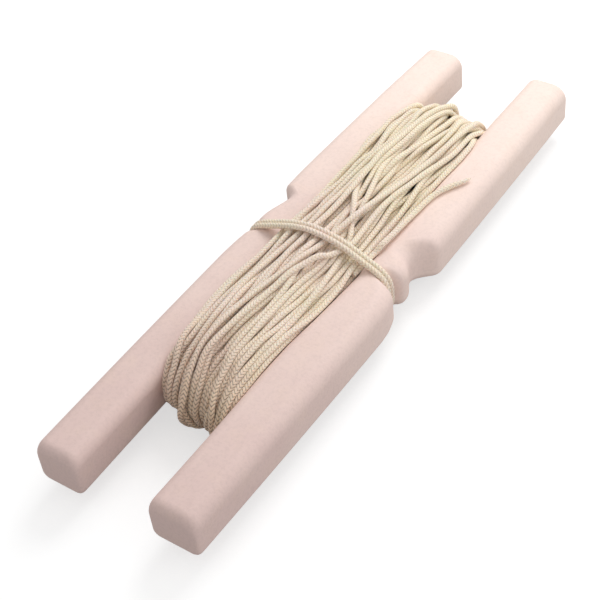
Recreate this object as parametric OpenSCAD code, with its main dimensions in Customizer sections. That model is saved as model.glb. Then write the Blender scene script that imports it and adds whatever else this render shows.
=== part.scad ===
// Cord reel: two square rails held apart by a cross board, with a braided cord wound lengthwise
// round the board and tied at the waist. The reel lies on its winding, so the rails sit above z = 0.

/* [Rails] */
// Length of each rail
rail_len = 240; // [220:5:280]
// Width of each rail, across the reel
rail_w = 17; // [15:0.5:19]
// Height of each rail
rail_h = 16.5; // [15.5:0.5:17.5]
// Clear gap between the rails, which is also the width of the board
gap_w = 30; // [29.8:0.2:31]
// Radius of the rails' long edges
edge_r = 4; // [2:0.5:4.5]
// Radius round the rails' ends
end_r = 1.5; // [0.5:0.5:3]

/* [Notches] */
// Radius of the wide notch in each rail's outer side
notch_r = 9.5; // [9:0.5:11]
// Distance of the left rail's wide notch from the middle
left_notch_y = 13.6; // [13:0.2:14]
// Depth of the left rail's wide notch
left_notch_depth = 3.5; // [2:0.5:4]
// Distance of the right rail's wide notch from the middle
right_notch_y = 10.8; // [10.4:0.2:11.4]
// Depth of the right rail's wide notch
right_notch_depth = 6; // [5:0.5:6]
// Depth of the left rail's tie slot
left_slot_depth = 3.2; // [3.2:0.1:3.6]
// Depth of the right rail's tie slot
right_slot_depth = 6.6; // [6.6:0.1:7]

/* [Board] */
// Thickness of the cross board
board_t = 8; // [7:0.5:9]
// Distance from the middle to the centre of each rounded board end
board_half = 70; // [66:1:72]
// Diameter of the dowels between the board and the rails
dowel_d = 5; // [4:0.5:5]
// Length of each dowel, half in the rail and half in the board
dowel_len = 18; // [14:1:20]

/* [Cord] */
// Diameter of the braided cord
cord_d = 2; // [1.8:0.1:2.1]
// Height of the winding's crown above the rails' tops
crown_h = 9; // [8:0.25:9]
// Depth of the winding's flattened belly below the rails
belly_h = 6.25; // [6:0.25:7.5]
// Full turns in the outer layer
turns = 14; // [11:1:14]
// Turns round the waist
tie_turns = 2; // [1:1:2]

/* [Hidden] */
$fn = 48;

plastic = [0.93, 0.85, 0.82];
peg_wood = [0.80, 0.64, 0.44];
cord_cream = [0.91, 0.86, 0.72];

mid_z = belly_h + rail_h / 2;     // height of the board's middle plane
inner_x = gap_w / 2;              // inner face of each rail
outer_x = inner_x + rail_w;       // outer face of each rail
cord_r = cord_d / 2;
flat = cord_d / 10;               // depth of the flats that the reel stands on
clear = 0.2;                      // air between the cord and what it lies on
slot_r = 3.2;                     // half the width of the tie slots
left_slot_y = -2.7;               // the tie climbs a little as it goes round, so its slots are staggered
right_slot_y = -3.9;
scoop_r = 16;                     // the shallow scoop that a tie slot is sunk in
scoop_y = -2;
left_scoop_depth = 0.8;
right_scoop_depth = 3;
dowel_ys = [-50, 0, 50];          // places of the dowels along each rail

// ---- Winding: half heights over the board's middle plane, with u = -1 to 1 across the reel ----

crown = rail_h / 2 + crown_h - cord_r;
belly = rail_h / 2 + belly_h - cord_r + flat;
lip = rail_h / 2 + cord_r + clear;          // a turn that lies on a rail
crown_dip = 1;                              // how far the tie presses the crown in
belly_dip = cord_d + 2 * clear;             // room for the tie under the belly
spread = 19.6;                              // half the width of the middle of the winding
shift = -1.2;                               // the winding leans over the left rail
end_spread = 13.6;                          // half its width at the board's ends
end_rise = 12.6;                            // height of the lower turns at the ends, over the board
end_drop = 11.4;                            // their depth under it
end_reach = 13.4;                           // distance from the board's end centre, middle turns
side_drop = 1.2;                            // how much less both are beside the rails
stagger = 2.3;                              // every second turn rides higher at the ends
flat_u = 0.35;                              // share of the belly that is flat
waist_y = -3.2;                             // where the tie goes round
ring_ys = [-44, -10, -3.2, 3, 44];          // rings along each straight run
end_share = 0.1;                            // how far the turns have spread as they leave the ends

// Half height of the winding at u, on the top or the underside
function crown_at(u) = lip + (crown - lip) * (1 - u * u);
function belly_at(u) =
    lip + (belly - lip) * (1 - pow(max(0, abs(u) - flat_u) / (1 - flat_u), 1.8));

// Share of the waist's dip at y
function dip_at(y) = max(0, 1 - max(0, abs(y - waist_y) - 6) / 30);
// Share of the full spread at y: none at the board's ends, all of it from ring_ys[4] inwards
function spread_at(y) = min(1, max(end_share, (board_half - abs(y)) / (board_half - ring_ys[4])));
function mix(a, b, share) = a + (b - a) * share;

// One round has 24 stations: half the underside, the near end, the top, the far end, the other half.
// A station is [kind, y or angle, top]: kind 0 is a straight run, 1 the far end, -1 the near end.
function mirrored(list) = [for (i = [len(list) - 1 : -1 : 0]) list[i]];
end_angles = [-90, -60, -30, 0, 30, 60, 90];
stations = concat(
    [for (i = [1 : -1 : 0]) [0, ring_ys[i], false]],
    [for (a = end_angles) [-1, a, a > 0]],
    [for (y = ring_ys) [0, y, true]],
    [for (a = mirrored(end_angles)) [1, a, a > 0]],
    [for (i = [4 : -1 : 2]) [0, ring_ys[i], false]]
);
per_turn = len(stations);

// Centre of the layer at a station, at u across the reel, sunk by s towards the board.
// rise lifts it at the ends, where the turns ride over each other.
function layer_point(st, u, s, rise) =
    let (
        run = st[0] == 0,
        y = run ? st[1] : st[0] * board_half,
        share = run ? spread_at(y) : (abs(st[1]) == 90 ? end_share : 0),
        bulge = 1 - u * u,
        x = u * mix(end_spread, spread, share) + share * shift,
        ride = rise * (1 - share) - s,
        up = mix(end_rise - side_drop * u * u, crown_at(u), share) + ride - crown_dip * dip_at(y) * bulge,
        down = mix(end_drop - side_drop * u * u, belly_at(u), share) + ride - belly_dip * dip_at(y) * bulge,
        reach = end_reach - side_drop * u * u + ride
    )
    run
        ? [x, y, mid_z + (st[2] ? up : -down)]
        : [x, y + st[0] * reach * cos(st[1]), mid_z + (st[1] > 0 ? up : down) * sin(st[1])];

// ---- A round tube swept along points, as one polyhedron ----

function unit(v) = v / norm(v);
function heading(p, i) = unit(p[min(len(p) - 1, i + 1)] - p[max(0, i - 1)]);
// Rings of a tube with n sides and radius list r; out(i) gives each ring's outward direction
function ring(c, dir, out, r, n) =
    let (side = unit(cross(dir, out)), up = cross(side, dir))
    [for (k = [0 : n - 1]) let (a = 360 * (k + 0.5) / n) c + r * (cos(a) * side + sin(a) * up)];

module tube(points, outs, radii, n, floor_z) {
    count = len(points);
    raw = [for (i = [0 : count - 1]) each ring(points[i], heading(points, i), outs[i], radii[i], n)];
    verts = [for (v = raw) [v[0], v[1], max(v[2], floor_z)]];
    walls = [
        for (i = [0 : count - 2], k = [0 : n - 1])
            let (a = i * n + k, b = i * n + (k + 1) % n)
            each [[a, b, b + n], [a, b + n, a + n]]
    ];
    first = [for (k = [1 : n - 2]) [0, k + 1, k]];
    base = (count - 1) * n;
    last = [for (k = [1 : n - 2]) [base, base + k, base + k + 1]];
    polyhedron(verts, concat(walls, first, last));
}

// Least distance between two stretches of a tube that are at least skip rings apart, less its width
function least_gap(p, skip, width) =
    min([for (i = [0 : len(p) - 2], j = [i + skip : 1 : len(p) - 2])
        min(norm(p[i] - p[j]), norm((p[i] + p[i + 1]) / 2 - (p[j] + p[j + 1]) / 2))]) - width;

// ---- Outer layer: one unbroken tube, from the left of the underside to the right of the top ----

last_ring = (turns - 1) * per_turn + 12;
function u_at(i) = 2 * i / (turns * per_turn) - 1;
function rise_at(i) = stagger * (floor(i / per_turn) % 2);
laid_points = [
    for (i = [0 : last_ring]) layer_point(stations[i % per_turn], u_at(i), 0, rise_at(i))
];
outer_end = laid_points[last_ring] + [0, cord_d, 0];
outer_points = concat([laid_points[0] + [0, cord_d, 0]], laid_points, [outer_end]);
function out_at(st) = st[0] == 0
    ? [0, 0, st[2] ? 1 : -1]
    : [0, st[0] * cos(st[1]), sin(st[1])];
outer_outs = concat(
    [[0, 0, -1]],
    [for (i = [0 : last_ring]) out_at(stations[i % per_turn])],
    [[0, 0, 1]]
);

module outer_turns() {
    color(cord_cream)
        tube(outer_points, outer_outs, [for (p = outer_points) cord_r], 6, 0);
}

// ---- Inner turns: a plain domed ring round the board, filling the space under the outer layer ----

core_gap = 0.4;                             // air beside the rails
dome_us = [for (k = [-4 : 4]) k * 0.23];
core_x = inner_x - core_gap;

// A point of the ring's inside or side, h from the board's middle plane
function core_point(st, x, h) = st[0] == 0
    ? [x, st[1], mid_z + (st[2] ? h : -h)]
    : [x, st[0] * (board_half + h * cos(st[1])), mid_z + h * sin(st[1])];
function core_section(st) =
    let (board_h = board_t / 2 + clear + 0.1, rail_top = rail_h / 2 + clear)
    concat(
        [core_point(st, -core_x, board_h), core_point(st, -core_x, rail_top)],
        [for (u = dome_us) layer_point(st, u, cord_r + clear, 0)],
        [core_point(st, core_x, rail_top), core_point(st, core_x, board_h)]
    );

module inner_turns() {
    n = len(dome_us) + 4;
    verts = [for (st = stations) each core_section(st)];
    faces = [
        for (i = [0 : per_turn - 1], k = [0 : n - 1])
            let (
                a = i * n + k,
                b = i * n + (k + 1) % n,
                c = ((i + 1) % per_turn) * n + (k + 1) % n,
                d = ((i + 1) % per_turn) * n + k
            )
            each [[a, b, c], [a, c, d]]
    ];
    color(cord_cream * 0.9) polyhedron(verts, faces);
}

// ---- Waist tie: two turns side by side round the winding and the rails ----

// One turn's outline, as x and height over the board's middle plane, from under the belly
tie_outline = [
    [7, -13.7], [12.5, -13.4], [18, -12], [23.4, -10], [26.4, -7.2], [27.1, -3.5],
    [27.1, 3.5], [26.4, 7.2], [23.4, 10], [18.5, 12], [13, 14.7], [6, 16.9],
    [-3, 17.7], [-12, 16.9], [-19, 14.4], [-25, 12], [-29, 9], [-30.2, 5],
    [-30.2, -5], [-29, -9], [-25, -12], [-19, -13.4], [-14, -13.7], [-4, -13.7]
];
tie_step = cord_d + 0.45;                   // how far each turn moves along the rails
tie_rings = len(tie_outline);
tie_points = [
    for (i = [-1 : tie_turns * tie_rings - 1])
        let (o = tie_outline[(i + tie_rings) % tie_rings], t = i / tie_rings - tie_turns / 2)
        [o[0], waist_y + tie_step * t, mid_z + o[1]]
];
tie_outs = [
    for (i = [0 : len(tie_points) - 1]) let (d = heading(tie_points, i)) [d[2], 0, -d[0]]
];

module waist_tie() {
    color(cord_cream)
        tube(tie_points, tie_outs, [for (p = tie_points) cord_r], 6, 0);
}

// ---- Cord tail: the loose end, lying on the right rail's top ----

tail_z = belly_h + rail_h + cord_r + clear;
tail_points = concat(
    [outer_end, outer_end + [0, cord_d, 0]],
    [
        [17.3, 13, 24.4], [17.5, 19, 24.2], [17.8, 26, tail_z], [18.2, 32, tail_z],
        [18.8, 38, tail_z], [20.4, 43, tail_z], [22.6, 47, tail_z], [24.8, 50.5, tail_z], [25.8, 53, tail_z]
    ]
);
// The last two rings taper to a sealed tip
tail_radii = [
    for (i = [0 : len(tail_points) - 1]) cord_r * min(1, 0.4 + 0.25 * (len(tail_points) - 1 - i))
];

module cord_tail() {
    color(cord_cream)
        tube(tail_points, [for (p = tail_points) [0, 0, 1]], tail_radii, 8, 0);
}

// ---- Rails, board and dowels ----

// Rectangle from the origin's middle, with round corners
module round_rect(w, h, r) {
    square([w - 2 * r, h], center = true);
    square([w, h - 2 * r], center = true);
    for (x = [-1, 1], y = [-1, 1])
        translate([x * (w / 2 - r), y * (h / 2 - r)]) circle(r);
}

// A bar along Y with round edges and ends, centred on the origin
module bar(w, len, h, r, tip_r) {
    intersection() {
        rotate([90, 0, 0]) linear_extrude(len, center = true) round_rect(w, h, r);
        linear_extrude(h + 1, center = true) round_rect(w, len, tip_r);
        rotate([90, 0, 90]) linear_extrude(w + 1, center = true) round_rect(len, h, tip_r);
    }
}

// A round notch through the rail's height, with rounded top and bottom edges
module notch(r, h, lip_r) {
    cylinder(r = r, h = h + 2, center = true, $fn = 96);
    for (side = [0, 1])
        mirror([0, 0, side]) translate([0, 0, h / 2 - lip_r])
            rotate_extrude($fn = 96) difference() {
                square([r + lip_r, lip_r + 1]);
                translate([r + lip_r, 0]) circle(lip_r);
            }
}

module dowel_bore(side, y) {
    translate([side * inner_x, y, 0]) rotate([0, 90, 0])
        cylinder(d = dowel_d, h = dowel_len + 1, center = true);
}

// A notch of radius r, sunk by depth in the outer side of a rail at y
module side_notch(side, y, r, depth) {
    translate([side * (outer_x - depth + r), y, 0]) notch(r, rail_h, edge_r);
}

module rail(side, notch_y, depth, slot_y, slot_depth, scoop_depth) {
    translate([0, 0, mid_z]) difference() {
        translate([side * (inner_x + rail_w / 2), 0, 0]) bar(rail_w, rail_len, rail_h, edge_r, end_r);
        side_notch(side, notch_y, notch_r, depth);
        side_notch(side, scoop_y, scoop_r, scoop_depth);
        side_notch(side, slot_y, slot_r, slot_depth);
        for (y = dowel_ys) dowel_bore(side, y);
    }
}

module left_rail() {
    color(plastic)
        rail(-1, left_notch_y, left_notch_depth, left_slot_y, left_slot_depth, left_scoop_depth);
}

module right_rail() {
    color(plastic)
        rail(1, right_notch_y, right_notch_depth, right_slot_y, right_slot_depth, right_scoop_depth);
}

module centre_board() {
    color(plastic) translate([0, 0, mid_z]) difference() {
        union() {
            cube([gap_w, 2 * board_half, board_t], center = true);
            for (y = [-board_half, board_half])
                translate([0, y, 0]) rotate([0, 90, 0]) cylinder(d = board_t, h = gap_w, center = true);
        }
        for (side = [-1, 1], y = dowel_ys) dowel_bore(side, y);
    }
}

module dowel(side, y) {
    color(peg_wood) translate([side * inner_x, y, mid_z]) rotate([0, 90, 0])
        cylinder(d = dowel_d, h = dowel_len, center = true);
}

left_rail();
right_rail();
centre_board();
dowel(-1, dowel_ys[0]);  // left_near_dowel
dowel(-1, dowel_ys[1]);  // left_middle_dowel
dowel(-1, dowel_ys[2]);  // left_far_dowel
dowel(1, dowel_ys[0]);  // right_near_dowel
dowel(1, dowel_ys[1]);  // right_middle_dowel
dowel(1, dowel_ys[2]);  // right_far_dowel
inner_turns();
outer_turns();
waist_tie();
cord_tail();

echo(outer_turns_gap = least_gap(outer_points, 12, cord_d));
echo(waist_tie_gap = least_gap(tie_points, 12, cord_d));
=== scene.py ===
import math

import bmesh
import bpy
import numpy as np
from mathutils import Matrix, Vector


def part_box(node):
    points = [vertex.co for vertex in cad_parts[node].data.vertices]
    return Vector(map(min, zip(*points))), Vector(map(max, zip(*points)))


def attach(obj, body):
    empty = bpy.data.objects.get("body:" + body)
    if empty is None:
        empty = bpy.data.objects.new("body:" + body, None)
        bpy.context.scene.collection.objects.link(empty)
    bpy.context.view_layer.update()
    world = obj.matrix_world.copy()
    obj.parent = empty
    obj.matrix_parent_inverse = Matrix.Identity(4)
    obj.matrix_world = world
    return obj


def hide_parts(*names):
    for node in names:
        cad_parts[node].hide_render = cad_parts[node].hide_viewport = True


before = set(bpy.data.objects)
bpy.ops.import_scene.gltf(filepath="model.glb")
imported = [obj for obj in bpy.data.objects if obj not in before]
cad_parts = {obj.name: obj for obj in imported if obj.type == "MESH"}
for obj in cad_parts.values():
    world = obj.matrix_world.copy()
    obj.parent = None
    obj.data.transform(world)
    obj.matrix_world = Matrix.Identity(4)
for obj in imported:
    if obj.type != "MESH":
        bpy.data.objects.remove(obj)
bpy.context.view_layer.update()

mm = 0.001
tiny = 1e-6
print("frame loaded")


# the view

view = {
    "place": (0.2171, -0.2875, 0.3445),
    "turn": (45.89, 5.178, 34.015),  # degrees
    "lens": 83.6,
    "sensor": 36.0,
    "nearest": 0.01,
}


def placeCamera():
    data = bpy.data.cameras.new("viewCamera")
    data.lens = view["lens"]
    data.sensor_width = view["sensor"]
    data.clip_start = view["nearest"]
    camera = bpy.data.objects.new("viewCamera", data)
    camera.location = view["place"]
    camera.rotation_euler = [math.radians(a) for a in view["turn"]]
    bpy.context.collection.objects.link(camera)
    bpy.context.scene.camera = camera


placeCamera()


# the reel's own sizes in mm, as the frame has them

rightLow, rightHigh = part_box("right_rail")
boardLow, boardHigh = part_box("centre_board")

reel = {
    "innerX": rightLow[0] / mm,
    "outerX": rightHigh[0] / mm,
    "railHalf": (rightHigh[2] - rightLow[2]) / 2 / mm,
    "midZ": (rightHigh[2] + rightLow[2]) / 2 / mm,
    "boardR": (boardHigh[2] - boardLow[2]) / 2 / mm,
    "railEdge": 4.0,       # how round the rails' long edges are where the cord lies on them
    # the right rail's near arm is a little wider on its inner side: by how much, along the reel
    "rightSwell": [(-120, 1.2), (-95, 1.5), (-80, 1.8), (-70, 2.25), (-62, 2.7), (-54, 2.9), (-46, 2.65),
                   (-38, 2.05), (-26, 1.1), (-10, 0.3), (5, 0), (88, 0), (120, -0.9)],
}
reel["boardHalf"] = boardHigh[1] / mm - reel["boardR"]


def fromTable(rows, at, column=1):
    rows = np.array(rows)
    return np.interp(at, rows[:, 0], rows[:, column])


def ease(t):
    t = np.clip(t, 0, 1)
    return t * t * (3 - 2 * t)


# the cord's winding: laid turn by turn on the board, then settled

winding = {
    "diameter": 2.0,
    "stepRun": 6.0,        # between stations along the runs
    "stepEnd": 15.0,       # degrees between stations round the ends
    "endSquare": 0.68,     # below 1 the bends are blunter than a half circle
    "nearSquare": 0.5,     # the lower half of the near bends
    # how far the bends stand off the board's far end, across the reel
    "farRoom": [(-18, 8.2), (-10, 10.4), (-3, 12.9), (3, 12.7), (9, 10.4), (12, 10.0), (15, 7.2),
                (18, 5.4)],
    "farSlack": 0.12,      # and more so in the outer turns, which lie this far out
    "farDepth": 10.0,
    "nearRoom": 4.5,       # the lower half of the near bends stands off too
    "nearSkew": 0.2,       # more on the right
    "nearDepth": 12.0,     # height over which they start to
    "underPacked": 0.72,   # the underside's pile is pressed flatter than the top
    "nearLean": 5.0,       # at the near end they slant to the right on their way down
    "leanSpan": 5.0,       # stations
    "mostTurns": 110,
    "endWidth": 13.9,      # half the width between the rails
    # left and right sides of the topmost turns, at places along the reel
    "sides": [(-75, -18.4, 17.4), (-58, -20.2, 12.8), (-46, -19.8, 14.4), (-28, -19.4, 18.2),
              (-8, -19.0, 18.4), (4, -16.6, 16.6), (20, -15.8, 16.2), (34, -16.4, 16.6), (44, -17.6, 17.4),
              (54, -18.2, 18.2), (70, -16.8, 17.6)],
    "narrowTurns": 10,     # turns that fill the gap before any lie over the rails
    "wideningTurns": 16,
    # towards the board's ends the pile narrows to the gap: from how far before them, over what length
    "narrowTop": 14.0,
    "narrowUnder": 6.0,
    "narrowing": 14.0,
    # in the bends: share of the spread kept, from what steepness, over what part of it
    "bendTop": (0.85, 0.4, 0.5),
    "bendUnder": (0.5, 0.7, 0.3),
    "leastSteep": 0.2,     # the rails' edges count no further down a bend than this
    # height of the pile over the board's middle, across it: it leans to the left
    "dome": [(-1.0, 12.2), (-0.85, 14.2), (-0.6, 16.2), (-0.3, 17.4), (0.0, 17.0), (0.35, 15.2),
             (0.7, 12.2), (1.0, 9.8)],
    "domeReach": 45.0,     # the pile's height is judged this far from the middle
    "places": 41,          # places across the pile that a turn can choose
    "leastLack": 0.25,     # the pile is full when it is nowhere lower than the dome by this
    "loosePart": 0.6,      # share of the pile's height after which the turns lie loose
    # pairs: the taut turns, then the loose ones
    "keepNear": (0.7, 0.5),         # how much a turn stays beside the one before
    "crossShare": (0.4, 0.5),       # turns that cross over on the top side
    "sway": (1.2, 2.8),
    "slideRounds": (5, 3),
    "whim": 0.3,           # in the choice of place
    # a turn changes places from so many stations past a run's start, over so many fewer than the run has
    "overTop": (1, 3),
    "underneath": (2, 4),
    "swayWaves": 8,
    "swayFall": 0.6,       # finer waves are weaker
    "swayScale": 1.6,      # brings the waves' sum to about 1
    "boundSway": (0.4, 0.3),        # it sways less where it is between the rails
    "nearCalm": 0.8,       # and at the near end
    "calmSpan": 7.0,       # stations
    "slide": 1.6,          # how far a turn looks for a dip
    "slideStep": 0.2,
    "slideCost": 0.2,      # of going further aside, against lying lower
    "slideShare": 0.4,     # of the slide that it follows in one round
    "straightOver": 7,     # stations over which it is drawn straight
    "bridgeRounds": 12,    # rounds in which it draws itself straight over the dips
    "bridgeSag": 0.12,     # between the turns that it bridges
    "seed": 11,
}


def farRoom(x):
    return fromTable(winding["farRoom"], x)


def nearRoom(x, z):
    low = ease(0.5 + (reel["midZ"] - z) / winding["nearDepth"])
    return low * (winding["nearRoom"] + winding["nearSkew"] * x)


def blunt(share, power):
    return math.copysign(abs(share) ** power, share)


def beltStations():
    # one turn: along the underside, up the near end, along the top, down the far end
    half = reel["boardHalf"]
    far = half + farRoom(0)
    run = np.linspace(-half, far, int(round((half + far) / winding["stepRun"])) + 1)
    arc = np.radians(np.arange(90 - winding["stepEnd"], -90, -winding["stepEnd"]))
    rows = [(y, 0.0, -1.0) for y in run[::-1]]
    for a in arc[::-1]:
        power = winding["nearSquare"] if a < 0 else winding["endSquare"]
        rows.append((-half, -blunt(math.cos(a), power), blunt(math.sin(a), power)))
    rows += [(y, 0.0, 1.0) for y in run]
    power = winding["endSquare"]
    rows += [(far, blunt(math.cos(a), power), blunt(math.sin(a), power)) for a in arc]
    return np.array(rows)


def sideLimits(stations, spread):
    # how far left and right the turns may lie: between the rails at first, over them later
    onRun = stations[:, 1] == 0
    steep = np.abs(stations[:, 2])
    onTop = stations[:, 2] > 0
    before = np.where(onTop, winding["narrowTop"], winding["narrowUnder"])
    freeRun = ease((reel["boardHalf"] + before - np.abs(stations[:, 0])) / winding["narrowing"])
    top, under = [kept * ease((steep - start) / part)
                  for kept, start, part in (winding["bendTop"], winding["bendUnder"])]
    free = np.where(onRun, freeRun, np.where(onTop, top, under))
    left = fromTable(winding["sides"], stations[:, 0])
    right = fromTable(winding["sides"], stations[:, 0], 2)
    width = winding["endWidth"]
    share = free * spread
    return -width + (left + width) * share, width + (right - width) * share


def bareHeight(x, steep):
    # lowest place for a cord over the board, or over a rail's rounded edge
    r = winding["diameter"] / 2
    edge = reel["innerX"] + reel["railEdge"]
    reach = reel["railEdge"] + r
    dx = np.clip(edge - np.abs(x), 0, reach)
    onRail = reel["railHalf"] - reel["railEdge"] + np.sqrt(reach ** 2 - dx ** 2)
    onRail = np.where(dx >= reach, 0, onRail / np.maximum(steep, winding["leastSteep"]))
    return np.maximum(reel["boardR"] + r, onRail)


def restHeight(x, laidX, laidH, steep):
    d = winding["diameter"]
    base = bareHeight(x, steep[:, None])
    if not len(laidX):
        return base
    gap = np.abs(x[None] - laidX[:, :, None])
    over = laidH[:, :, None] + np.sqrt(np.maximum(d * d - gap * gap, 0))
    return np.maximum(base, np.where(gap < d, over, 0).max(axis=0))


def swayLine(rng, count):
    t = np.linspace(0, 2 * math.pi, count, endpoint=False)
    waves = [rng.normal() / k ** winding["swayFall"] * np.sin(k * t + rng.uniform(0, 2 * math.pi))
             for k in range(1, winding["swayWaves"] + 1)]
    return sum(waves) / winding["swayScale"]


def slideDown(line, left, right, laidX, laidH, steep, rounds):
    # it slides into the nearest dip, but a taut cord bends little
    step = winding["slideStep"]
    slides = np.arange(-winding["slide"], winding["slide"] + step / 2, step)
    pad = winding["straightOver"] // 2
    window = np.ones(winding["straightOver"]) / winding["straightOver"]
    lead = laidX[-1, -pad:] if len(laidX) else np.repeat(line[0], pad)
    share = winding["slideShare"]
    xs = line
    for again in range(rounds):
        near = np.clip(xs[:, None] + slides[None], left[:, None], right[:, None])
        height = restHeight(near, laidX, laidH, steep)
        best = np.argmin(height + winding["slideCost"] * (near - xs[:, None]) ** 2, axis=1)
        slid = near[np.arange(len(xs)), best]
        longer = np.concatenate([lead, slid, np.repeat(slid[-1], pad)])
        straight = np.convolve(longer, window, "same")[pad:-pad]
        xs = np.clip(share * slid + (1 - share) * straight, left, right)
    return xs


def bridge(low, before):
    # it lies on what is under it, and spans the dips in between
    hs = low.copy()
    for again in range(winding["bridgeRounds"]):
        longer = np.concatenate([[before], hs, [hs[-1]]])
        hs = np.maximum(low, 0.5 * (longer[:-2] + longer[2:]) - winding["bridgeSag"])
    return hs


def pileUp(rng, stations):
    # where each turn lies across the reel at each station, and how high over the board's middle
    count = len(stations)
    index = np.arange(count)
    steep = np.abs(stations[:, 2])
    underCount = int((stations[:, 2] == -1).sum())
    onTop = (stations[:, 1] == 0) & (stations[:, 2] > 0)
    topStart = int(np.argmax(onTop))
    middle = onTop & (np.abs(stations[:, 0]) < winding["domeReach"])
    places = np.linspace(-1, 1, winding["places"])
    dome = fromTable(winding["dome"], places)
    looseFrom = (1 - winding["loosePart"]) * (dome.max() - reel["boardR"])
    leaning = winding["nearLean"] * np.exp(-((index - underCount - 1) / winding["leanSpan"]) ** 2)
    nearEnd = np.exp(-((index - 0.5 * (underCount + topStart)) / winding["calmSpan"]) ** 2)
    boundFrom, boundLeast = winding["boundSway"]
    laidX = np.zeros((0, count))
    laidH = np.zeros((0, count))
    last = -1.0
    for turn in range(winding["mostTurns"]):
        left, right = sideLimits(stations, ease((turn - winding["narrowTurns"]) / winding["wideningTurns"]))
        x = left[:, None] + (places[None] + 1) / 2 * (right - left)[:, None]
        lack = dome - restHeight(x, laidX, laidH, steep)[middle].mean(axis=0)
        if lack.max() < winding["leastLack"]:
            break
        loose = int(lack.max() < looseFrom)
        wish = lack - winding["keepNear"][loose] * np.abs(places - last)
        wish = wish + rng.normal(size=len(places)) * winding["whim"]
        place = places[int(np.argmax(wish))]
        # the cord moves to its new place along the underside, or now and then over the top
        if rng.random() < winding["crossShare"][loose]:
            late, less = winding["overTop"]
            shift = ease((index - topStart - late) / (underCount - less))
        else:
            late, less = winding["underneath"]
            shift = ease((index - late) / (underCount - less))
        line = left + (last + (place - last) * shift + 1) / 2 * (right - left)
        last = place
        free = (right - left) / (2 * winding["endWidth"])
        line += leaning
        sway = winding["sway"][loose] * (1 - winding["nearCalm"] * nearEnd)
        line = line + swayLine(rng, count) * sway * np.clip(free - boundFrom, boundLeast, 1)
        line = np.clip(line, left, right)
        xs = slideDown(line, left, right, laidX, laidH, steep, winding["slideRounds"][loose])
        low = restHeight(xs[:, None], laidX, laidH, steep)[:, 0]
        laidX = np.vstack([laidX, xs])
        laidH = np.vstack([laidH, bridge(low, laidH[-1, -1] if len(laidH) else low[0])])
    return laidX, laidH


def layTurns():
    stations = beltStations()
    laidX, laidH = pileUp(np.random.default_rng(winding["seed"]), stations)
    packed = 1 - (1 - winding["underPacked"]) * ease(-stations[:, 2])
    laidH = reel["boardR"] + (laidH - reel["boardR"]) * packed
    atFarEnd = stations[:, 1] > 0
    outer = np.clip((laidH - reel["boardR"]) / winding["farDepth"], 0, 1)
    slack = 1 + winding["farSlack"] * atFarEnd * outer
    y = stations[:, 0] + stations[:, 1] * laidH * slack + (farRoom(laidX) - farRoom(0)) * atFarEnd
    z = reel["midZ"] + stations[:, 2] * laidH
    y -= nearRoom(laidX, z) * (stations[:, 1] < 0)
    print("turns laid:", len(laidX))
    # the last turn ends on the underside, where the tie goes round
    points = np.stack([laidX, y, z], axis=-1)
    ending = int(np.argmax(stations[:, 0] < settling["waistY"]))
    return np.vstack([points[:-1].reshape(-1, 3), points[-1, :ending]])


def lengthAlong(points):
    return np.concatenate([[0], np.cumsum(np.linalg.norm(np.diff(points, axis=0), axis=1))])


def evenly(points, step):
    along = lengthAlong(points)
    at = np.linspace(0, along[-1], int(round(along[-1] / step)) + 1)
    return np.stack([np.interp(at, along, points[:, k]) for k in range(3)], axis=1)


# how the laid turns settle against each other and the reel

settling = {
    "spacing": 2.3,        # between the points that move
    "rounds": 110,
    "pushes": 3,           # in each round
    "lookEvery": 4,        # rounds between two searches for neighbours
    "lookRange": 1.35,     # diameters
    "skip": 4,             # points along the same cord that are no neighbours
    "freshPart": 0.8,      # share of the rounds in which the cord still straightens itself
    "pull": 0.08,          # towards a straight line, and more while fresh
    "freshPull": 0.42,
    "wideReach": 5,        # points each way: a longer stretch pulls as well, by this share
    "widePull": 0.4,
    "press": 0.05,         # of the taut runs on the pile under them
    "runFrom": 4.0,        # the taut runs begin this far past the board's ends, over this length
    "runFade": 8.0,
    "beside": 0.75,        # spacings: only points side by side push each other
    "pushGain": 1.7,
    "floorGap": 0.02,
    "slack": 0.85,         # of the last turns; from what share of the cord, over what share
    "slackFrom": 0.5,
    "slackOver": 0.25,
    # the tie's waist
    "waistY": -3.2,
    "waistReach": 9.0,
    "waistFade": 6.0,
    "waistTop": 16.3,      # height of the bundle there, highest this far left of the middle
    "waistPeak": 6.0,
    "waistRound": 0.018,
    "waistPress": 0.5,
    "leastBend": 4.5,      # radius
    "kinkRounds": 80,
    "kinkMargin": 1.3,
    "kinkSpread": 0.7,
    # where the right rail is wider the cord gives way to it, from this far left of the middle
    "crowdFrom": 18.0,
    "snug": 0.35,          # how far the yarn gives where it lies against that rail
}


def closePairs(p, reach, skip):
    # pairs of points nearer than reach, found in a grid of cells
    cell = np.floor(p / reach).astype(np.int64)
    cell -= cell.min(axis=0) - 1
    size = cell.max(axis=0) + 3
    key = (cell[:, 0] * size[1] + cell[:, 1]) * size[2] + cell[:, 2]
    order = np.argsort(key, kind="stable")
    keys = key[order]
    found = []
    for dx in (-1, 0, 1):
        for dy in (-1, 0, 1):
            want = key + (dx * size[1] + dy) * size[2]
            first = np.searchsorted(keys, want - 1, "left")
            past = np.searchsorted(keys, want + 1, "right")
            for m in range(int((past - first).max())):
                i = np.nonzero(first + m < past)[0]
                j = order[first[i] + m]
                keep = np.abs(j - i) > skip
                i, j = i[keep], j[keep]
                near = ((p[i] - p[j]) ** 2).sum(axis=1) < reach * reach
                found.append(np.stack([i[near], j[near]]))
    return np.concatenate(found, axis=1)


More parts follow.
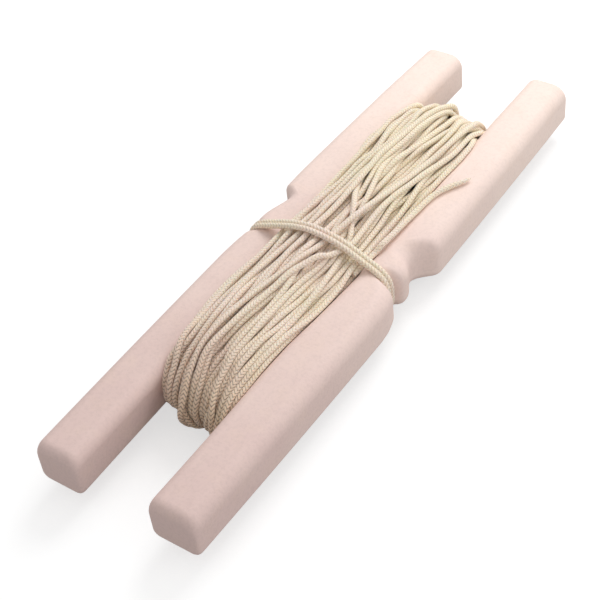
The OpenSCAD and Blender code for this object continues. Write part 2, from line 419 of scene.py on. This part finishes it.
def keepOffReel(p):
    r = winding["diameter"] / 2
    # the rails: rounded bars along y
    side = np.sign(p[:, 0])
    halfX = 0.5 * (reel["outerX"] - reel["innerX"])
    ax = np.abs(p[:, 0]) - reel["innerX"] - halfX
    az = p[:, 2] - reel["midZ"]
    qx = np.abs(ax) - halfX + reel["railEdge"]
    qz = np.abs(az) - reel["railHalf"] + reel["railEdge"]
    out = np.hypot(np.maximum(qx, 0), np.maximum(qz, 0))
    gap = out + np.minimum(np.maximum(qx, qz), 0) - reel["railEdge"] - r
    corner = out > tiny
    nx = np.where(corner, np.maximum(qx, 0), (qx > qz).astype(float)) * np.sign(ax)
    nz = np.where(corner, np.maximum(qz, 0), (qx <= qz).astype(float)) * np.sign(az)
    size = np.maximum(np.hypot(nx, nz), tiny)
    push = np.maximum(-gap, 0)
    p[:, 0] += push * nx / size * side
    p[:, 2] += push * nz / size
    # the board: a slab with round ends between them
    near = reel["boardHalf"] + nearRoom(p[:, 0], p[:, 2])
    dy = p[:, 1] - np.clip(p[:, 1], -near, reel["boardHalf"] + farRoom(p[:, 0]))
    dz = p[:, 2] - reel["midZ"]
    far = np.maximum(np.hypot(dy, dz), tiny)
    push = np.where(np.abs(p[:, 0]) < reel["innerX"], np.maximum(reel["boardR"] + r - far, 0), 0)
    p[:, 1] += push * dy / far
    p[:, 2] += push * dz / far


def settle(p, chain, pinned, slack):
    # chain numbers each point's own cord, so that no cord pulls on the next one
    d = winding["diameter"]
    count = len(p)
    home = p[pinned].copy()
    after = np.minimum(np.arange(count) + 1, count - 1)
    before = np.maximum(np.arange(count) - 1, 0)
    after = np.where(chain[after] == chain, after, np.arange(count))
    before = np.where(chain[before] == chain, before, np.arange(count))
    linked = np.nonzero(chain[:-2] == chain[2:])[0] + 1
    wide = settling["wideReach"]
    wellLinked = np.nonzero(chain[:-2 * wide] == chain[2 * wide:])[0] + wide
    for turn in range(settling["rounds"]):
        if turn % settling["lookEvery"] == 0:
            i, j = closePairs(p, d * settling["lookRange"], settling["skip"])
        fresh = max(0.0, 1 - turn / (settling["rounds"] * settling["freshPart"]))
        pull = settling["pull"] + settling["freshPull"] * fresh
        q = p.copy()
        q[linked] += pull * (0.5 * (p[linked - 1] + p[linked + 1]) - p[linked])
        around = sum(p[wellLinked - s] + p[wellLinked + s] for s in range(1, wide + 1)) / (2 * wide)
        onRun = ease((reel["boardHalf"] + settling["runFrom"] - np.abs(p[:, 1])) / settling["runFade"])
        firm = 1 - slack[wellLinked] * onRun[wellLinked]
        q[wellLinked] += settling["widePull"] * pull * firm[:, None] * (around - p[wellLinked])
        # the taut runs press on the pile under them
        q[:, 2] -= np.sign(p[:, 2] - reel["midZ"]) * onRun * settling["press"] * min(1, 2 * fresh)
        p = q
        fromWaist = np.abs(p[:, 1] - settling["waistY"])
        atWaist = ease((settling["waistReach"] - fromWaist) / settling["waistFade"])
        for again in range(settling["pushes"]):
            t = p[after] - p[before]
            t /= np.linalg.norm(t, axis=1)[:, None]
            w = p[i] - p[j]
            lengthwise = (w * t[j]).sum(axis=1)
            off = w - lengthwise[:, None] * t[j]
            dist = np.maximum(np.linalg.norm(off, axis=1), tiny)
            hit = (np.abs(lengthwise) < settling["spacing"] * settling["beside"]) & (dist < d)
            push = 0.5 * (d - dist[hit])[:, None] * off[hit] / dist[hit][:, None]
            total = np.zeros_like(p)
            hits = np.zeros(count)
            np.add.at(total, i[hit], push)
            np.add.at(total, j[hit], -push)
            np.add.at(hits, i[hit], 1)
            np.add.at(hits, j[hit], 1)
            push = total / np.maximum(hits, 1)[:, None]
            # a push spreads to the points on both sides
            push[2:-2] = (push[:-4] + 2 * push[1:-3] + 3 * push[2:-2] + 2 * push[3:-1] + push[4:]) / 9
            p += push * settling["pushGain"]
            keepOffReel(p)
            floor = d / 2 + settling["floorGap"] + atWaist * d
            p[:, 2] = np.maximum(p[:, 2], floor)
            # the tie draws the bundle in at the waist
            fall = settling["waistRound"] * (p[:, 0] + settling["waistPeak"]) ** 2
            top = reel["midZ"] + settling["waistTop"] - fall
            p[:, 2] -= atWaist * np.maximum(p[:, 2] - top, 0) * settling["waistPress"]
            p[pinned] = home
    return p


def easeKinks(points):
    # rounds off the bends tighter than the cord can make
    p = points.copy()
    for again in range(settling["kinkRounds"]):
        back = p[1:-1] - p[:-2]
        ahead = p[2:] - p[1:-1]
        chord = np.linalg.norm(p[2:] - p[:-2], axis=1)
        twist = np.linalg.norm(np.cross(back, ahead), axis=1)
        legs = np.linalg.norm(back, axis=1) * np.linalg.norm(ahead, axis=1)
        radius = legs * chord / np.maximum(2 * twist, tiny)
        sharp = np.clip(settling["kinkMargin"] - radius / settling["leastBend"], 0, 1)
        beside = np.maximum(sharp[:-2], sharp[2:])
        sharp[1:-1] = np.maximum(sharp[1:-1], settling["kinkSpread"] * beside)
        p[1:-1] += 0.5 * sharp[:, None] * (0.5 * (p[2:] + p[:-2]) - p[1:-1])
    return p


def tubeAlong(name, points, radii, sides):
    # a round tube on one smooth line, made by a bevelled curve and kept as a mesh; radii in mm
    data = bpy.data.curves.new(name + "Line", "CURVE")
    data.dimensions = "3D"
    data.twist_mode = "MINIMUM"
    data.bevel_depth = 1.0
    data.bevel_resolution = sides // 2 - 2
    data.use_fill_caps = True
    spline = data.splines.new("POLY")
    spline.points.add(len(points) - 1)
    places = np.ones((len(points), 4))
    places[:, :3] = points * mm
    spline.points.foreach_set("co", places.ravel())
    spline.points.foreach_set("radius", np.broadcast_to(np.asarray(radii) * mm, len(points)).copy())
    line = bpy.data.objects.new(name + "Line", data)
    bpy.context.collection.objects.link(line)
    mesh = bpy.data.meshes.new_from_object(line.evaluated_get(bpy.context.evaluated_depsgraph_get()))
    bpy.data.objects.remove(line)
    mesh.name = name
    # u goes once round the cord and v along it in mm
    ring, side = np.divmod(np.arange(len(mesh.vertices)), sides)
    loopVerts = np.empty(len(mesh.loops), int)
    mesh.loops.foreach_get("vertex_index", loopVerts)
    starts = np.empty(len(mesh.polygons), int)
    mesh.polygons.foreach_get("loop_start", starts)
    faceOf = np.searchsorted(starts, np.arange(len(mesh.loops)), "right") - 1
    lastSide = np.maximum.reduceat(side[loopVerts], starts) == sides - 1
    u = side[loopVerts] + sides * (lastSide[faceOf] & (side[loopVerts] == 0))
    v = lengthAlong(points)[np.minimum(ring[loopVerts], len(points) - 1)]
    mesh.uv_layers[0].data.foreach_set("uv", np.stack([u / sides, v], axis=1).ravel())
    bm = bmesh.new()
    bm.from_mesh(mesh)
    bmesh.ops.remove_doubles(bm, verts=bm.verts, dist=tiny)
    bmesh.ops.recalc_face_normals(bm, faces=bm.faces)
    for f in bm.faces:
        f.smooth = len(f.verts) == 4
    bm.to_mesh(mesh)
    bm.free()
    tube = bpy.data.objects.new(name, mesh)
    bpy.context.collection.objects.link(tube)
    return tube


# the cords' tubes, and the tail's route from under the tie to its tip

drawn = {
    "plump": 1.05,         # the yarn stands a little proud of the cord's width
    "step": 2.05,          # between rings along the bundle
    "facets": 10,
    "fineFacets": 12,      # of the tie and the tail
}
tail = {
    "lead": [(16.4, -9, 24.9), (16.8, -2, 24.8)],
    "route": [
        (17, 5, 24.7), (17, 7, 24.7), (17.3, 13, 24.4), (17.5, 19, 24.2), (17.8, 26, 23.95),
        (18.2, 32, 23.95), (18.8, 38, 23.95), (20.4, 43, 23.95), (22.6, 47, 23.95), (24.8, 50.5, 23.95),
        (25.8, 53, 23.95),
    ],
    "pinnedFrom": 6.0,     # past this y it lies as it is
    "perSpan": 12,         # points between two of the route's
    "step": 1.6,
    "taper": 9.0,          # length over which it thins
    "tip": 0.35,           # share of its width at the tip
}


def smoothLine(points, step):
    # a Catmull-Rom line through the points
    p = np.array(points, float)
    p = np.vstack([2 * p[0] - p[1], p, 2 * p[-1] - p[-2]])
    t = np.linspace(0, 1, tail["perSpan"], endpoint=False)[:, None]
    rows = []
    for a, b, c, d in zip(p[:-3], p[1:-2], p[2:-1], p[3:]):
        square = 2 * a - 5 * b + 4 * c - d
        cube = 3 * b - a - 3 * c + d
        rows.append(0.5 * (2 * b + (c - a) * t + square * t ** 2 + cube * t ** 3))
    return evenly(np.vstack(rows + [p[-2:-1]]), step)


laid = evenly(layTurns(), settling["spacing"])
tailLine = smoothLine(tail["lead"] + tail["route"], settling["spacing"])
everyPoint = np.vstack([laid, tailLine])
chain = np.repeat([0, 1], [len(laid), len(tailLine)])
pinned = (chain == 1) & (everyPoint[:, 1] > tail["pinnedFrom"])
# the last turns are slacker than the ones below
turnShare = np.arange(len(everyPoint)) / len(laid)
slack = settling["slack"] * ease((turnShare - settling["slackFrom"]) / settling["slackOver"])
settled = settle(everyPoint, chain, pinned, slack)
# and all are pressed together where the right rail is wider
crowdFrom = settling["crowdFrom"]
crowded = np.clip((settled[:, 0] + crowdFrom) / (reel["innerX"] + crowdFrom), 0, 1)
settled[:, 0] -= (fromTable(reel["rightSwell"], settled[:, 1]) - settling["snug"]) * crowded
turns = easeKinks(evenly(settled[chain == 0], drawn["step"]))
tailLine = evenly(settled[chain == 1], tail["step"])
print("winding settled:", round(lengthAlong(turns)[-1] / 1000, 2), "m")

cordRadius = drawn["plump"] * winding["diameter"] / 2
cordBundle = tubeAlong("cordBundle", turns, cordRadius, drawn["facets"])
fromTip = lengthAlong(tailLine)[-1] - lengthAlong(tailLine)
tailRadii = cordRadius * (tail["tip"] + (1 - tail["tip"]) * np.sqrt(np.clip(fromTip / tail["taper"], 0, 1)))
cordTail = tubeAlong("cordTail", tailLine, tailRadii, drawn["fineFacets"])


# the rails, drawn ring by ring along y

railForm = {
    "half": 120.0,         # half its length
    "bow": 1.2,            # the winding spreads the rails a little in the middle
    # how round the long edges are: top inner, top outer, bottom
    "leftEdges": (4.8, 4.3, 2.4),
    "rightEdges": (4.4, 5.6, 2.4),
    "edgeGap": 0.2,        # flat left between the two top edges, where a notch is deep
    "edgeShare": 0.6,      # of the width, at most, for the outer one
    "arc": 8,              # segments round each long edge
    # how the ends are rounded: along the rail, at the top, at the sides, at the bottom
    "nearEnd": (3.6, 3.4, 1.3, 1.2),
    "farEnd": (2.0, 1.8, 0.8, 0.8),
    "endArc": 6,
    # depth of the notches in the outer side, along the rail; below 0 the rail is wider there
    "leftNotches": [(-19, 0), (-12, 0.3), (-6.4, 0.8), (-5.4, 1.8), (-4.2, 3.1), (-1.2, 3.2), (-0.2, 1.9),
                    (0.8, 0.9), (4.5, 1.0), (8, 1.7), (12, 2.8), (16.2, 3.8), (18.2, 3.2), (19.8, 0.9),
                    (21, -0.6), (34, -0.8), (60, -0.4), (90, 0), (120, 0.9)],
    "rightNotches": [(-19, 0), (-14, 0.4), (-10, 1.4), (-7.6, 2.2), (-6.4, 3.4), (-5.4, 7.6), (-2.2, 8.2),
                     (-1.2, 5.6), (-0.2, 3.4), (3.0, 3.1), (5.2, 3.9), (7.6, 5.5), (10.4, 6.3), (13.2, 5.4),
                     (15.8, 3.4), (18, 1.1), (19.6, 0)],
    "wear": (-1.0, -0.5, 0.0, 0.5, 1.0),     # the notches' corners are worn round over this much
    "lipGrowth": 0.25,     # the lips are rounder where the notch is deeper
    "waist": (-21, 22, 0.75),      # close rings from, to, step
    "others": (30, 45, 60, 75, 90, 105),
}


def notchDepth(y, notches):
    return float(np.mean([fromTable(notches, y + off) for off in railForm["wear"]]))


def railSpread(y):
    return railForm["bow"] * (0.5 - (y / railForm["half"]) ** 2)


def railRings(half):
    # places along a rail, each with its insets at the top, the sides and the bottom
    rows = []
    arc = railForm["endArc"]
    for end, form in ((-1, railForm["nearEnd"]), (1, railForm["farEnd"])):
        long, top, side, bottom = form
        rows.append((end * (half - long), 0.0, 0.0, 0.0))
        for step in range(arc):
            a = step / arc * math.pi / 2 + math.pi / 2 / arc
            back = 1 - math.sin(a)
            drop = 1 - math.cos(a)
            rows.append((end * (half - long * back), top * drop, side * drop ** 2, bottom * drop ** 2))
    plain = list(np.arange(*railForm["waist"])) + [end * y for end in (-1, 1) for y in railForm["others"]]
    return sorted(rows + [(y, 0.0, 0.0, 0.0) for y in plain])


def edgeRadii(edges, depth):
    # top inner, top outer, bottom inner, bottom outer: rounder where a notch is deeper, if there's room
    room = reel["outerX"] - reel["innerX"] - depth
    grown = railForm["lipGrowth"] * depth
    outer = min(edges[1] + grown, railForm["edgeShare"] * room)
    return min(edges[0], room - outer - railForm["edgeGap"]), outer, edges[2], edges[2] + grown


def railSection(edges, depth, swell, top, side, bottom):
    # the rail's outline across it: x from the inner side outwards, z about the middle
    width = reel["outerX"] - reel["innerX"] - depth - side
    high, low = reel["railHalf"] - top, bottom - reel["railHalf"]
    inner, outer, under, lip = edgeRadii(edges, depth)
    innerSide = side - swell
    corners = [(innerSide + under, low + under, under, 180), (width - lip, low + lip, lip, 270),
               (width - outer, high - outer, outer, 0), (innerSide + inner, high - inner, inner, 90)]
    points = []
    for x, z, radius, start in corners:
        for step in range(railForm["arc"] + 1):
            a = math.radians(start + 90 * step / railForm["arc"])
            points.append((x + radius * math.cos(a), z + radius * math.sin(a)))
    return points


def buildRail(name, side, notches, edges, swells):
    bm = bmesh.new()
    rings = []
    for y, top, flank, bottom in railRings(rightHigh[1] / mm):
        out = reel["innerX"] + railSpread(y)
        section = railSection(edges, notchDepth(y, notches), fromTable(swells, y), top, flank, bottom)
        places = [(side * (out + x) * mm, y * mm, (reel["midZ"] + z) * mm) for x, z in section]
        rings.append([bm.verts.new(place) for place in places])
    for a, b in zip(rings, rings[1:]):
        for i in range(len(a)):
            j = (i + 1) % len(a)
            bm.faces.new((a[i], a[j], b[j], b[i]))
    bm.faces.new(rings[0])
    bm.faces.new(rings[-1])
    bmesh.ops.recalc_face_normals(bm, faces=bm.faces)
    for f in bm.faces:
        f.smooth = True
    mesh = bpy.data.meshes.new(name)
    bm.to_mesh(mesh)
    bm.free()
    rail = bpy.data.objects.new(name, mesh)
    bpy.context.collection.objects.link(rail)
    weighted = rail.modifiers.new("faceNormals", "WEIGHTED_NORMAL")
    weighted.keep_sharp = False
    return rail


leftRail = buildRail("leftRail", -1, railForm["leftNotches"], railForm["leftEdges"], [(0, 0)])
rightRail = buildRail("rightRail", 1, railForm["rightNotches"], railForm["rightEdges"], reel["rightSwell"])
print("rails shaped")


# the tie: two turns drawn tight round the bundle and the rails' near notches

tie = {
    "turns": 2,
    "pitch": 2.06,         # between the two turns
    "step": 1.5,
    "overlap": 0.04,       # share of a turn that each end runs on
    "reach": 3.2,          # how much of the bundle it lies over
    "notchReach": 1.2,     # and of the notches
    "gap": 0.03,
    "smooth": 3,
}


def tieOutline():
    r = winding["diameter"] / 2
    waist = settling["waistY"]
    # what it lies on, as circles: the bundle's turns and the rails' long edges
    near = settled[np.abs(settled[:, 1] - waist) < tie["reach"]]
    centres = [(x, z, r) for x, z in near[:, [0, 2]]]
    for side, name in ((-1, "left"), (1, "right")):
        notches = railForm[name + "Notches"]
        edges = railForm[name + "Edges"]
        depth = min(notchDepth(waist + off, notches) for off in (-tie["notchReach"], 0, tie["notchReach"]))
        radii = edgeRadii(edges, depth)
        for up, lip in ((1, radii[1]), (-1, radii[3])):
            x = side * (reel["outerX"] + railSpread(waist) - depth - lip)
            centres.append((x, reel["midZ"] + up * (reel["railHalf"] - lip), lip))
    centres = np.array(centres)
    # drawn tight: in each direction it touches the circle that stands out furthest
    rows = []
    for a in np.radians(np.arange(-90, 270, 1.0)):
        n = np.array((math.cos(a), math.sin(a)))
        best = np.argmax(centres[:, :2] @ n + centres[:, 2])
        rows.append(centres[best, :2] + n * (centres[best, 2] + r + tie["gap"]))
    rows.append(rows[0])
    return evenly(np.array([(x, 0, z) for x, z in rows]), tie["step"])


def tieRoute():
    ring = tieOutline()[:-1]
    for again in range(tie["smooth"]):
        ring = 0.5 * ring + 0.25 * (np.roll(ring, 1, axis=0) + np.roll(ring, -1, axis=0))
    extra = int(round(tie["overlap"] * len(ring)))
    index = np.arange(-extra, tie["turns"] * len(ring) + extra)
    line = ring[index % len(ring)].copy()
    line[:, 1] = settling["waistY"] + tie["pitch"] * (index / len(ring) - tie["turns"] / 2)
    line[:, 2] = np.maximum(line[:, 2], winding["diameter"] / 2 + settling["floorGap"])
    return line


tieLine = tieRoute()
cordTie = tubeAlong("cordTie", tieLine, cordRadius, drawn["fineFacets"])
print("tie drawn:", round(lengthAlong(tieLine)[-1]), "mm")


# materials

def newMaterial(name):
    material = bpy.data.materials.new(name)
    material.use_nodes = True
    tree = material.node_tree
    return material, tree, tree.nodes["Principled BSDF"]


def addNode(tree, kind, settings=None, **links):
    # links: socket name with _ for spaces, or in and a number, to another node's output or a plain value
    node = tree.nodes.new("ShaderNode" + kind)
    for key, value in (settings or {}).items():
        setattr(node, key, value)
    for key, value in links.items():
        socket = node.inputs[int(key[2:])] if key.startswith("in") else node.inputs[key.replace("_", " ")]
        if isinstance(value, bpy.types.NodeSocket):
            tree.links.new(value, socket)
        else:
            socket.default_value = value
    return node


def sums(tree, operation, *values):
    links = {"in" + str(i): value for i, value in enumerate(values)}
    return addNode(tree, "Math", {"operation": operation}, **links).outputs[0]


def ramp(tree, value, places, colours):
    node = addNode(tree, "ValToRGB", None, Fac=value)
    for element, place, colour in zip(node.color_ramp.elements, places, colours):
        element.position = place
        element.color = (*colour, 1)
    return node.outputs["Color"]


def mixed(tree, share, a, b, blend="MIX"):
    settings = {"data_type": "RGBA", "blend_type": blend}
    return addNode(tree, "Mix", settings, in0=share, in6=a, in7=b).outputs[2]


def roughen(tree, shader, relief, look):
    bump = addNode(tree, "Bump", None, Height=relief, Distance=look["bumpDepth"], Strength=look["bump"])
    tree.links.new(bump.outputs[0], shader.inputs["Normal"])


def grey(level):
    return (level, level, level)


white = grey(1.0)
plasticFinish = {
    "nearShadedColour": (0.785, 0.595, 0.552),     # pinker and darker at the near end: painted shade
    "farLitColour": (0.940, 0.770, 0.690),      # creamier and lighter towards the far end: painted light, where more light falls
    # where the painted shade turns into the painted light: per metre along the bar, at its middle, and by
    # the clouds
    "fading": 3.6,
    "lightMiddle": 0.22,
    "cloudShare": 0.55,
    "lightRange": (0.15, 0.85),
    "spot": (0.84, 0.64, 0.53, 1),
    "spotRange": (0.50, 0.78),
    "railSpots": 0.25,
    "boardSpots": 0.6,
    "speck": 0.93,
    "speckRange": (0.30, 0.55),
    # noise scales, per metre
    "cloud": 38.0,
    "blotch": 152.0,
    "grain": 900.0,
    "scuff": (700, 24, 700),  # long along the bar
    "scuffRough": (0.5, 0.78),       # roughness where they are least and most
    "scuffShare": 0.5,        # in the relief
    "bumpDepth": 0.00012,
    "bump": 0.5,
    "shine": 0.3,
}


def makePlastic(name, spotted):
    # matte moulded plastic: cloudy tint, fine grain, soft scuffs along the bar, and painted light that
    # makes it darker at the near end and lighter at the far end
    look = plasticFinish
    material, tree, shader = newMaterial(name)
    place = addNode(tree, "TexCoord").outputs["Object"]
    split = addNode(tree, "SeparateXYZ", None, Vector=place)
    cloud = addNode(tree, "TexNoise", None, Vector=place, Scale=look["cloud"], Detail=4.0, Roughness=0.55)
    grain = addNode(tree, "TexNoise", None, Vector=place, Scale=look["grain"], Detail=3.0, Roughness=0.6)
    blotch = addNode(tree, "TexNoise", None, Vector=place, Scale=look["blotch"], Detail=3.0)
    scuffMap = addNode(tree, "Mapping", None, Vector=place, Scale=look["scuff"])
    scuff = addNode(tree, "TexNoise", None, Vector=scuffMap.outputs[0], Scale=1.0, Detail=4.0)
    # painted light: the tint runs from the shaded near colour to the lit far colour along the bar
    paintedLight = sums(tree, "MULTIPLY_ADD", split.outputs["Y"], look["fading"], look["lightMiddle"])
    paintedLight = sums(tree, "ADD", paintedLight, sums(tree, "MULTIPLY", cloud.outputs["Fac"], look["cloudShare"]))
    tint = ramp(tree, paintedLight, look["lightRange"], (look["nearShadedColour"], look["farLitColour"]))
    spots = ramp(tree, blotch.outputs["Fac"], look["spotRange"], (grey(0.0), white))
    tint = mixed(tree, sums(tree, "MULTIPLY", spots, spotted), tint, look["spot"])
    speck = ramp(tree, grain.outputs["Fac"], look["speckRange"], (grey(look["speck"]), white))
    tree.links.new(mixed(tree, 1.0, tint, speck, "MULTIPLY"), shader.inputs["Base Color"])
    smooth, rough = look["scuffRough"]
    roughness = addNode(tree, "MapRange", None, Value=scuff.outputs["Fac"], To_Min=smooth, To_Max=rough)
    tree.links.new(roughness.outputs["Result"], shader.inputs["Roughness"])
    scuffs = sums(tree, "MULTIPLY", scuff.outputs["Fac"], look["scuffShare"])
    roughen(tree, shader, sums(tree, "ADD", grain.outputs["Fac"], scuffs), look)
    shader.inputs["Specular IOR Level"].default_value = look["shine"]
    return material


yarnFinish = {
    "yarn": (0.99, 0.882, 0.685),
    "warmYarn": (0.98, 0.82, 0.71),
    "yellowing": 1.6,         # per metre towards the far end
    "yellowRange": (0.36, 0.66),
    # painted shade in the plait's grooves
    "grooveShade": (0.70, 0.55, 0.41),
    # painted shade, darker towards the near end: fully shaded up to, unshaded from, in metres along the
    # reel
    "nearShadeRange": (-0.085, -0.045),
    "nearShade": (0.81, 0.727, 0.65),
    "nearShadeGroove": (0.060, 0.034, 0.020),
    "columns": 6,             # slanting stitches round the cord, two to each V
    "pitch": 1.35,            # mm between stitches along it
    "slant": 0.8,
    "stitchPower": 0.75,      # below 1 they are fuller
    "columnPower": 0.4,
    "columnDip": 0.45,        # how far the lines between columns sink
    "grooveShadeRange": (0.12, 0.58),     # heights of the plait between the painted groove shade and the yarn
    # noise scales, per metre
    "soil": 45.0,
    "fibre": 2600.0,
    "fibreShare": 0.25,       # in the relief
    "lint": 0.86,             # darkest between the fibres
    "lintRange": (0.3, 0.6),
    "bumpDepth": 0.0002,
    "bump": 0.8,
    "roughness": 0.85,
    "glow": 0.32,             # light that passes through the fibres
    "glowReach": (0.9, 0.7, 0.5),    # mm
    "sheen": 0.2,
    "sheenSpread": 0.5,
    "shine": 0.2,
}


def makeYarn(name):
    # a plaited cord: rows of slanting stitches that meet in Vs, with painted shade in the grooves between
    # them and towards the near end
    look = yarnFinish
    material, tree, shader = newMaterial(name)
    coords = addNode(tree, "TexCoord")
    split = addNode(tree, "SeparateXYZ", None, Vector=coords.outputs["UV"])
    about = sums(tree, "MULTIPLY", split.outputs["X"], look["columns"])
    slope = sums(tree, "PINGPONG", about, 1.0)
    row = sums(tree, "DIVIDE", split.outputs["Y"], look["pitch"])
    phase = sums(tree, "ADD", row, sums(tree, "MULTIPLY", slope, look["slant"]))
    stitch = sums(tree, "ABSOLUTE", sums(tree, "SINE", sums(tree, "MULTIPLY", phase, math.pi)))
    stitch = sums(tree, "POWER", stitch, look["stitchPower"])
    column = sums(tree, "ABSOLUTE", sums(tree, "SINE", sums(tree, "MULTIPLY", about, math.pi)))
    column = sums(tree, "POWER", column, look["columnPower"])
    sunk = addNode(tree, "MapRange", None, Value=column, To_Min=1 - look["columnDip"], To_Max=1.0)
    height = sums(tree, "MULTIPLY", stitch, sunk.outputs["Result"])
    place = coords.outputs["Object"]
    fibre = addNode(tree, "TexNoise", None, Vector=place, Scale=look["fibre"], Detail=3.0)
    soil = addNode(tree, "TexNoise", None, Vector=place, Scale=look["soil"], Detail=4.0)
    along = addNode(tree, "SeparateXYZ", None, Vector=place).outputs["Y"]
    aged = sums(tree, "ADD", soil.outputs["Fac"], sums(tree, "MULTIPLY", along, look["yellowing"]))
    tint = ramp(tree, aged, look["yellowRange"], (look["warmYarn"], look["yarn"]))
    # painted shade towards the near end: darker yarn and darker grooves
    start, end = look["nearShadeRange"]
    unshaded = addNode(tree, "MapRange", None, Value=along, From_Min=start, From_Max=end).outputs["Result"]
    grooveShade = ramp(tree, unshaded, (0.0, 1.0), (look["nearShadeGroove"], look["grooveShade"]))
    shaded = ramp(tree, unshaded, (0.0, 1.0), (look["nearShade"], white))
    tint = mixed(tree, 1.0, tint, shaded, "MULTIPLY")
    # painted shade: the grooves take the darker colour where the plait is low
    tint = mixed(tree, ramp(tree, height, look["grooveShadeRange"], (grey(0.0), white)), grooveShade, tint)
    lint = ramp(tree, fibre.outputs["Fac"], look["lintRange"], (grey(look["lint"]), white))
    tree.links.new(mixed(tree, 1.0, tint, lint, "MULTIPLY"), shader.inputs["Base Color"])
    fibres = sums(tree, "MULTIPLY", fibre.outputs["Fac"], look["fibreShare"])
    roughen(tree, shader, sums(tree, "ADD", height, fibres), look)
    shader.inputs["Roughness"].default_value = look["roughness"]
    shader.inputs["Subsurface Weight"].default_value = look["glow"]
    shader.inputs["Subsurface Radius"].default_value = look["glowReach"]
    shader.inputs["Subsurface Scale"].default_value = mm
    shader.inputs["Sheen Weight"].default_value = look["sheen"]
    shader.inputs["Sheen Roughness"].default_value = look["sheenSpread"]
    shader.inputs["Specular IOR Level"].default_value = look["shine"]
    return material


woodFinish = {
    "light": (0.72, 0.53, 0.33),
    "dark": (0.47, 0.30, 0.16),
    "darkRange": (0.25, 0.8),
    "stretch": (0.12, 1, 1),  # along the dowel
    # scales, per metre
    "rings": 140.0,
    "flecks": 2520.0,
    "waver": 3.5,
    "ringShare": 0.6,
    "fleckShare": 0.4,
    "bumpDepth": 0.0001,
    "bump": 0.4,
    "roughness": 0.6,
}


def makeDowelWood(name):
    # turned birch: rings seen from the side, stretched along the dowel
    look = woodFinish
    material, tree, shader = newMaterial(name)
    place = addNode(tree, "TexCoord").outputs["Object"]
    stretch = addNode(tree, "Mapping", None, Vector=place, Scale=look["stretch"])
    rings = addNode(tree, "TexWave", {"bands_direction": "Z"}, Vector=stretch.outputs[0],
                    Scale=look["rings"], Distortion=look["waver"], Detail=3.0)
    flecks = addNode(tree, "TexNoise", None, Vector=stretch.outputs[0], Scale=look["flecks"], Detail=3.0)
    both = sums(tree, "ADD", sums(tree, "MULTIPLY", rings.outputs["Fac"], look["ringShare"]),
                sums(tree, "MULTIPLY", flecks.outputs["Fac"], look["fleckShare"]))
    tint = ramp(tree, both, look["darkRange"], (look["light"], look["dark"]))
    tree.links.new(tint, shader.inputs["Base Color"])
    roughen(tree, shader, both, look)
    shader.inputs["Roughness"].default_value = look["roughness"]
    return material


def dress(piece, material):
    piece.data.materials.clear()
    piece.data.materials.append(material)


railPlastic = makePlastic("railPlastic", plasticFinish["railSpots"])
boardPlastic = makePlastic("boardPlastic", plasticFinish["boardSpots"])
yarn = makeYarn("braidedYarn")
dowelWood = makeDowelWood("dowelWood")
for piece in (leftRail, rightRail):
    dress(piece, railPlastic)
for piece in (cordBundle, cordTie, cordTail):
    dress(piece, yarn)
for name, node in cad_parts.items():
    if name == "centre_board":
        node.material_slots[0].material = boardPlastic
    elif name.endswith("_dowel"):
        node.material_slots[0].material = dowelWood
print("materials made")


# floor, lamps and the light all round

stage = {
    "floorSize": 3.0,
    "floorColour": (0.52, 0.52, 0.52, 1),
    "floorGlow": 0.60,        # for the camera only
    "lampSize": 0.36,
    # name, place, watts
    "lamps": [("keyLamp", (-0.03, 0.36, 0.43), 1.55), ("sideLamp", (0.45, 0.12, 0.25), 0.5)],
    "fill": 0.60,
}


def setStage():
    mesh = bpy.data.meshes.new("floor")
    bm = bmesh.new()
    bmesh.ops.create_grid(bm, x_segments=1, y_segments=1, size=stage["floorSize"] / 2)
    bm.to_mesh(mesh)
    bm.free()
    floor = bpy.data.objects.new("floor", mesh)
    bpy.context.collection.objects.link(floor)
    material = bpy.data.materials.new("floorWhite")
    material.use_nodes = True
    tree = material.node_tree
    tree.nodes.clear()
    seen = addNode(tree, "LightPath").outputs["Is Camera Ray"]
    glow = addNode(tree, "Emission", None, Strength=sums(tree, "MULTIPLY", seen, stage["floorGlow"]))
    diffuse = addNode(tree, "BsdfDiffuse", None, Color=stage["floorColour"])
    both = addNode(tree, "AddShader", None, in0=diffuse.outputs[0], in1=glow.outputs[0])
    addNode(tree, "OutputMaterial", None, Surface=both.outputs[0])
    mesh.materials.append(material)

    for name, place, power in stage["lamps"]:
        data = bpy.data.lights.new(name, "AREA")
        data.shape = "DISK"
        data.size = stage["lampSize"]
        data.energy = power
        lamp = bpy.data.objects.new(name, data)
        lamp.location = place
        lamp.rotation_euler = Vector(place).to_track_quat("Z", "Y").to_euler()
        bpy.context.collection.objects.link(lamp)

    world = bpy.data.worlds.new("studio")
    world.use_nodes = True
    tree = world.node_tree
    back = tree.nodes["Background"]
    back.inputs["Color"].default_value = (*white, 1)
    seen = addNode(tree, "LightPath").outputs["Is Camera Ray"]
    strength = addNode(tree, "MapRange", None, Value=seen, To_Min=stage["fill"], To_Max=1.0)
    tree.links.new(strength.outputs["Result"], back.inputs["Strength"])
    bpy.context.scene.world = world
    bpy.context.scene.view_settings.view_transform = "Standard"


setStage()
print("stage set")


# what each piece stands for

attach(cordBundle, "root")
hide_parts("inner_turns", "outer_turns")
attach(cordTie, "root")
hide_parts("waist_tie")
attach(cordTail, "root")
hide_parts("cord_tail")
for rail, node in ((leftRail, "left_rail"), (rightRail, "right_rail")):
    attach(rail, "root")
    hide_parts(node)
